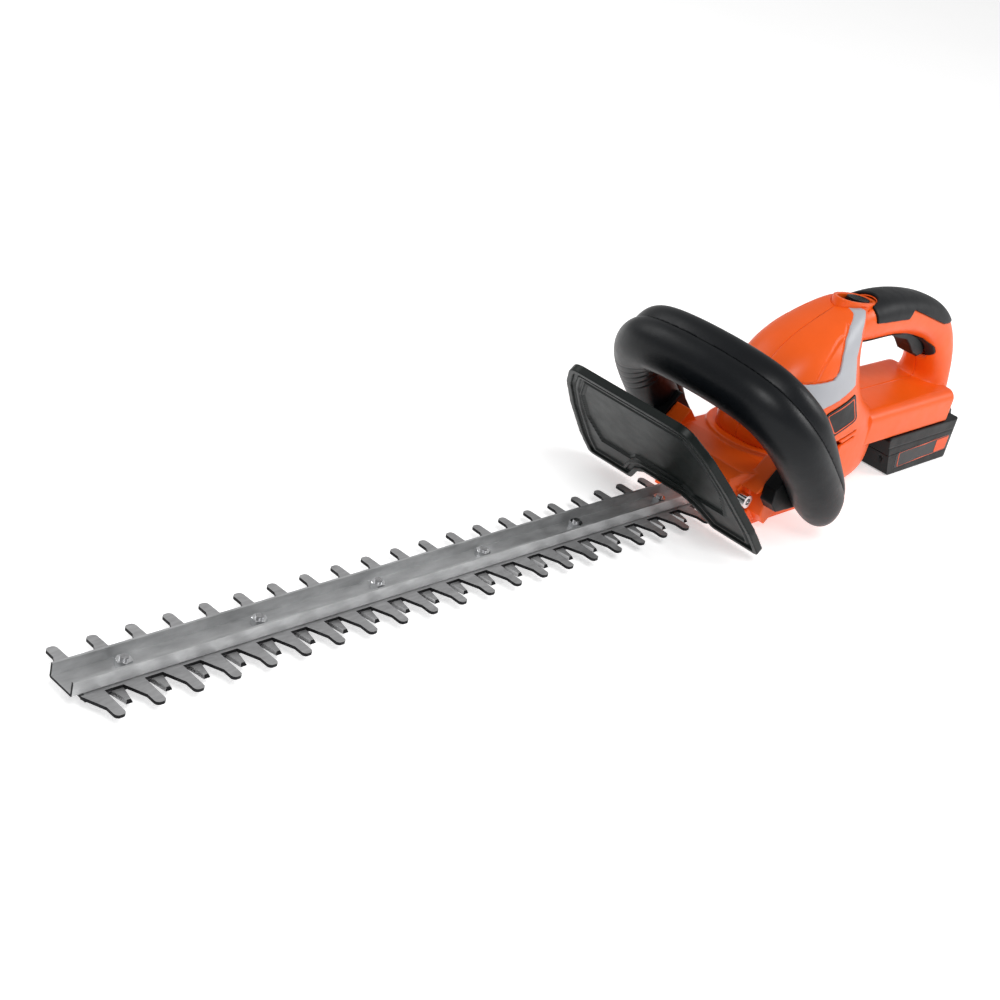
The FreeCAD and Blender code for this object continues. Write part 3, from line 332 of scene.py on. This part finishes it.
# ---------------------------------------------------------------- casing
BADGE_CORNERS = ((184, 79), (225, 90), (238, 67), (206, 57))
LABEL_CORNERS = ((330, 5), (414, 8), (414, 23), (326, 20))
LABEL_PATCH = ((392, 8.5), (410.5, 9.2), (410.5, 21), (391, 20.3))
PANEL_CREASE = smooth_path([(160, 103), (167, 107), (172, 114), (178, 120.5),
                            (187, 128), (195, 133), (203, 136)])
BAND_FRONT = smooth_path([(150, 104.6), (186, 107.6), (191.4, 112.3), (194.4, 123),
                          (200.4, 133.4), (210, 141.5)])
CREASE_X = (145, 212)
CREASE_FROM_MIDDLE = 12
CREASE_HALF_WIDTH, CREASE_DEPTH = 1.3, 0.8


def make_casing():
    """Both casing halves with their creases, and the skins, badges and controls set into them."""
    for side in ("left", "right"):
        piece = refined("body_half_" + side, "casing_" + side, BODY_ROOT, ORANGE, 0.6, 8)
        sign = -1 if side == "left" else 1

        def crease(point, normal, sign=sign):
            """Groove along the panel line and the front edge of the band."""
            if sign * point.y < CREASE_FROM_MIDDLE or not CREASE_X[0] <= point.x <= CREASE_X[1]:
                return 0.0
            gap = min(distance_to_path(point.x, point.z, PANEL_CREASE),
                      distance_to_path(point.x, point.z, BAND_FRONT))
            return -CREASE_DEPTH * max(0.0, 1 - (gap / CREASE_HALF_WIDTH) ** 2)

        push(piece, crease)
    refined("gear_housing", "gear_case", BODY_ROOT, ORANGE, 0.8, 3)
    dress("gear_case_cover", ORANGE, 0.6)
    refined("band", "trim_band", BODY_ROOT, SILVER, 0.5, 3)
    refined("grip_skin", "soft_grip", BODY_ROOT, RUBBER, 0.6, 3)
    refined("liner_strip", "handle_liner", BODY_ROOT, RUBBER, 0.5, 3)
    refined("well", "lock_off_surround", BODY_ROOT, ORANGE, 0.5, 3)
    refined("slider", "lock_off_button", "lock_off", BLACK, 0.35, 2)
    refined("trigger_lever", "trigger", "trigger", BLACK, 0.4, 3)
    for side, sign in (("left", -1), ("right", 1)):
        plate = refined("plate_" + side, "side_badge_" + side, BODY_ROOT, BLACK, 0.35, 2)
        line_inlay("plate_line_" + side, shrunk(BADGE_CORNERS, 0.84), 3.0, 1.1, 0.12,
                   surface_of(plate, sign), BODY_ROOT, LABEL_ORANGE)


# The loop and the guard lean forward: each has its own plane, with (x, height) of its origin and its lean.
LOOP_PLANE = (72.0, 126.0, radians(45))
GUARD_PLANE = (76.0, 15.0, radians(43))
LOOP_LINE = ((0, 2), (28, 0), (53, -9), (69, -33), (75, -66), (76, -100), (74, -127))
LOOP_NEAR_SEAM = 48
RIB_PITCH, RIB_COUNT, RIB_HALF_WIDTH = 7.5, 5, 1.3
LEVER_SEAM = ((-46, -16), (-45, -9), (-41, -5.5), (41, -5.5), (45, -9), (46, -16))
GUARD_FIELD = ((58, 27), (62, 58), (56, 90), (44, 113), (-44, 113), (-56, 90), (-62, 58), (-58, 27),
               (-30, 27), (-22, 36), (22, 36), (30, 27), (58, 27))


def in_plane(point, plane):
    """(across, up the plane, behind it) of a point given in millimetres."""
    x, z, lean = plane
    dx, dz = point.x - x, point.z - z
    return point.y, dz * cos(lean) - dx * sin(lean), dx * cos(lean) + dz * sin(lean)


def loop_height(across):
    """How far up its plane the loop's centre line is, by distance from the middle."""
    for (a, high), (b, low) in zip(LOOP_LINE, LOOP_LINE[1:]):
        if a <= abs(across) <= b:
            return high + (low - high) * (abs(across) - a) / (b - a)
    return LOOP_LINE[-1][1]


def forwardness(normal, plane):
    """How far a surface direction points out of the back of a leaning plane; negative is its front."""
    return in_plane(normal, (0.0, 0.0, plane[2]))[2]


def loop_detail(point, normal):
    """Seam of the switch lever on the loop's lower front, and the grip ribs in one bend."""
    across, up, behind = in_plane(point, LOOP_PLANE)
    if behind > -3:
        return 0.0
    step = 0.0
    if abs(across) < LOOP_NEAR_SEAM:
        gap = distance_to_path(across, up - loop_height(across), LEVER_SEAM)
        step -= 0.55 * max(0.0, 1 - (gap / 1.1) ** 2)
    elif across > LOOP_NEAR_SEAM and -62 < up < -14:
        facing = forwardness(normal, LOOP_PLANE)
        band = (up + 0.45 * (across - 66) + 56) / RIB_PITCH
        share = abs(band - round(band)) * RIB_PITCH
        if 0 <= round(band) < RIB_COUNT and facing < -0.15:
            fade = max(0.0, 1 - ((facing + 0.62) / 0.42) ** 2)
            step -= 0.8 * fade * max(0.0, 1 - (share / RIB_HALF_WIDTH) ** 2)
    return step


def inside(x, z, path):
    """True where a closed path holds the point."""
    crossings = [px + (z - pz) * (qx - px) / (qz - pz)
                 for (px, pz), (qx, qz) in zip(path, path[1:]) if (pz > z) != (qz > z)]
    return sum(crossing > x for crossing in crossings) % 2 == 1


def guard_detail(point, normal):
    """Raised line round a slightly sunk field on the guard's front."""
    if forwardness(normal, GUARD_PLANE) > -0.6:
        return 0.0
    across, up, _ = in_plane(point, GUARD_PLANE)
    gap = distance_to_path(across, up, GUARD_FIELD)
    ridge = 1.2 * max(0.0, 1 - (gap / 1.9) ** 2)
    return ridge - (0.7 if inside(across, up, GUARD_FIELD) else 0.0)


def make_front_handle():
    """Loop handle with its lever and feet, and the hand guard in front of it."""
    push(refined("loop_front", "front_handle_shell", BODY_ROOT, CHARCOAL, 0.8), loop_detail)
    refined("loop_rear", "front_handle_back", BODY_ROOT, CHARCOAL, 0.9)
    refined("switch_lever", "front_switch_bar", "switch_bar", BLACK, 0.5, 2)
    for side in ("left", "right"):
        refined("loop_foot_" + side, "handle_bracket_" + side, BODY_ROOT, BLACK, 0.6, 3)
    push(refined("hand_guard", "guard", BODY_ROOT, GUARD_BLACK, 0.6, 2), guard_detail)


def make_battery():
    """Battery shells and latch, with a plain outline and colour field on each side label."""
    refined("pack_tub", "battery_tub", "battery", BLACK, 0.6, 2)
    refined("pack_cover", "battery_cover", "battery", BLACK, 0.6, 2)
    refined("pack_latch", "battery_latch", "latch", BLACK, 0.4, 2)
    for side, sign in (("left", -1), ("right", 1)):
        film = refined("pack_label_" + side, "battery_label_" + side, "battery", LABEL, 0.25, 1)
        surface = surface_of(film, sign)
        line_inlay("label_line_" + side, shrunk(LABEL_CORNERS, 0.9), 2.0, 0.8, 0.1, surface, "battery",
                   LABEL_ORANGE)
        patch_inlay("label_patch_" + side, LABEL_PATCH, 1.5, 0.12, surface, "battery", LABEL_ORANGE)
    dress("battery_dock", BLACK, 0.3)
    dress("battery_cells", CELL, 0.3)
    dress("contact_blades", COPPER)


def paint_faces(node, materials, choose):
    """Give a CAD node several materials, chosen for each face by its centre and normal."""
    piece = dress(node, materials[0])
    for material in materials[1:]:
        piece.data.materials.append(material)
    for face in piece.data.polygons:
        face.material_index = choose(face.center / MM, face.normal)
    return piece


TOOTH_FROM_MIDDLE = 14


def make_cutting_unit():
    """Blades with painted shade on their thin edge faces, the channel bar over them with painted shade on
    its end faces, and the plated fasteners.
    """
    # Upper blade: every face not lying flat gets the near-black painted-shade steel.
    paint_faces("blade_upper", (BLADE, EDGE_PAINTED_SHADE), lambda centre, normal: 0 if abs(normal.z) > 0.7 else 1)

    def lower_finish(centre, normal):
        """Flat faces plain, tooth sides ground bright, and everything else painted dark as shade."""
        if abs(normal.z) > 0.9:
            return 0
        return 2 if abs(centre.y) > TOOTH_FROM_MIDDLE and abs(normal.y) < 0.85 else 1

    paint_faces("blade_lower", (BLADE, EDGE_PAINTED_SHADE, GROUND), lower_finish)
    # Bar: faces turned along x get the near-black painted-shade steel.
    paint_faces("blade_support_bar", (BAR, EDGE_PAINTED_SHADE), lambda centre, normal: 1 if abs(normal.x) > 0.7 else 0)
    dress("blade_bolts", MACHINED, 0.2)
    for node in ("blade_nuts", "blade_washers", "guard_screws", "case_screws", "casing_screws"):
        dress(node, PLATED, 0.2)


def make_inside():
    """Materials for the drive, motor, switches and board inside the casing."""
    for node in ("drive_gear", "cam_upper", "cam_lower", "gear_axle", "motor_pinion", "motor_shaft",
                 "trigger_pin"):
        dress(node, MACHINED)
    dress("motor_can", BAR)
    dress("motor_armature", COPPER)
    dress("control_board", BOARD)
    dress("trigger_switch", BLACK)
    dress("front_switch", BLACK)


# ---------------------------------------------------------------- floor, light and camera
def make_floor():
    """Wide pale floor just under the lowest point, faintly lit so that it stays even."""
    material, tree, shader = new_material("pale_floor")
    pale = tint(tree, noise(tree, 1.5), (0.90, 0.90, 0.90), (0.93, 0.93, 0.93))
    tree.links.new(pale, shader.inputs["Base Color"])
    shader.inputs["Roughness"].default_value = 0.7
    shader.inputs["Specular IOR Level"].default_value = 0.1
    shader.inputs["Emission Color"].default_value = (1, 1, 1, 1)
    shader.inputs["Emission Strength"].default_value = 0.42
    bpy.ops.mesh.primitive_circle_add(vertices=96, radius=40, fill_type="NGON")
    floor = bpy.context.active_object
    floor.name = "floor"
    floor.location.z = CAD_BOX[0].z - 0.0002
    floor.data.materials.append(material)


def area_light(name, position, target, size, power):
    """Round soft light aimed at a point."""
    light = bpy.data.lights.new(name, "AREA")
    light.shape = "DISK"
    light.size = size
    light.energy = power
    lamp = bpy.data.objects.new(name, light)
    bpy.context.collection.objects.link(lamp)
    lamp.location = position
    lamp.rotation_euler = (Vector(target) - Vector(position)).to_track_quat("-Z", "Y").to_euler()


def make_light():
    """Even surrounding light and three soft lamps."""
    world = bpy.data.worlds.new("studio")
    bpy.context.scene.world = world
    world.use_nodes = True
    world.node_tree.nodes["Background"].inputs["Color"].default_value = (1, 1, 1, 1)
    world.node_tree.nodes["Background"].inputs["Strength"].default_value = 0.5
    centre = (0.1, 0, 0.08)
    area_light("key", (-0.9, -1.1, 1.7), centre, 0.9, 22)
    area_light("back", (-0.4, 1.6, 1.3), centre, 1.2, 9)
    area_light("side", (1.6, -1.0, 0.9), centre, 0.7, 10)
    bpy.context.scene.view_settings.view_transform = "Standard"
    bpy.context.scene.view_settings.look = "None"


def make_camera():
    """Long lens looking down on the blade's near side, tilted as a product shot is."""
    azimuth, elevation, roll = radians(-52.0), radians(26.7), radians(14.5)
    back = Vector((sin(azimuth) * cos(elevation), -cos(azimuth) * cos(elevation), sin(elevation)))
    level_right = Vector((cos(azimuth), sin(azimuth), 0))
    level_up = back.cross(level_right)
    right = level_right * cos(roll) + level_up * sin(roll)
    up = level_up * cos(roll) - level_right * sin(roll)
    data = bpy.data.cameras.new("camera")
    data.sensor_width = 36.0
    data.lens = 61.2
    data.clip_end = 200
    camera = bpy.data.objects.new("camera", data)
    bpy.context.collection.objects.link(camera)
    turn = Matrix((right, up, back)).transposed().to_4x4()
    camera.matrix_world = Matrix.Translation(Vector((-0.877, -0.593, 0.537))) @ turn
    bpy.context.scene.camera = camera


make_casing()
make_front_handle()
make_battery()
make_cutting_unit()
make_inside()
make_floor()
make_light()
make_camera()
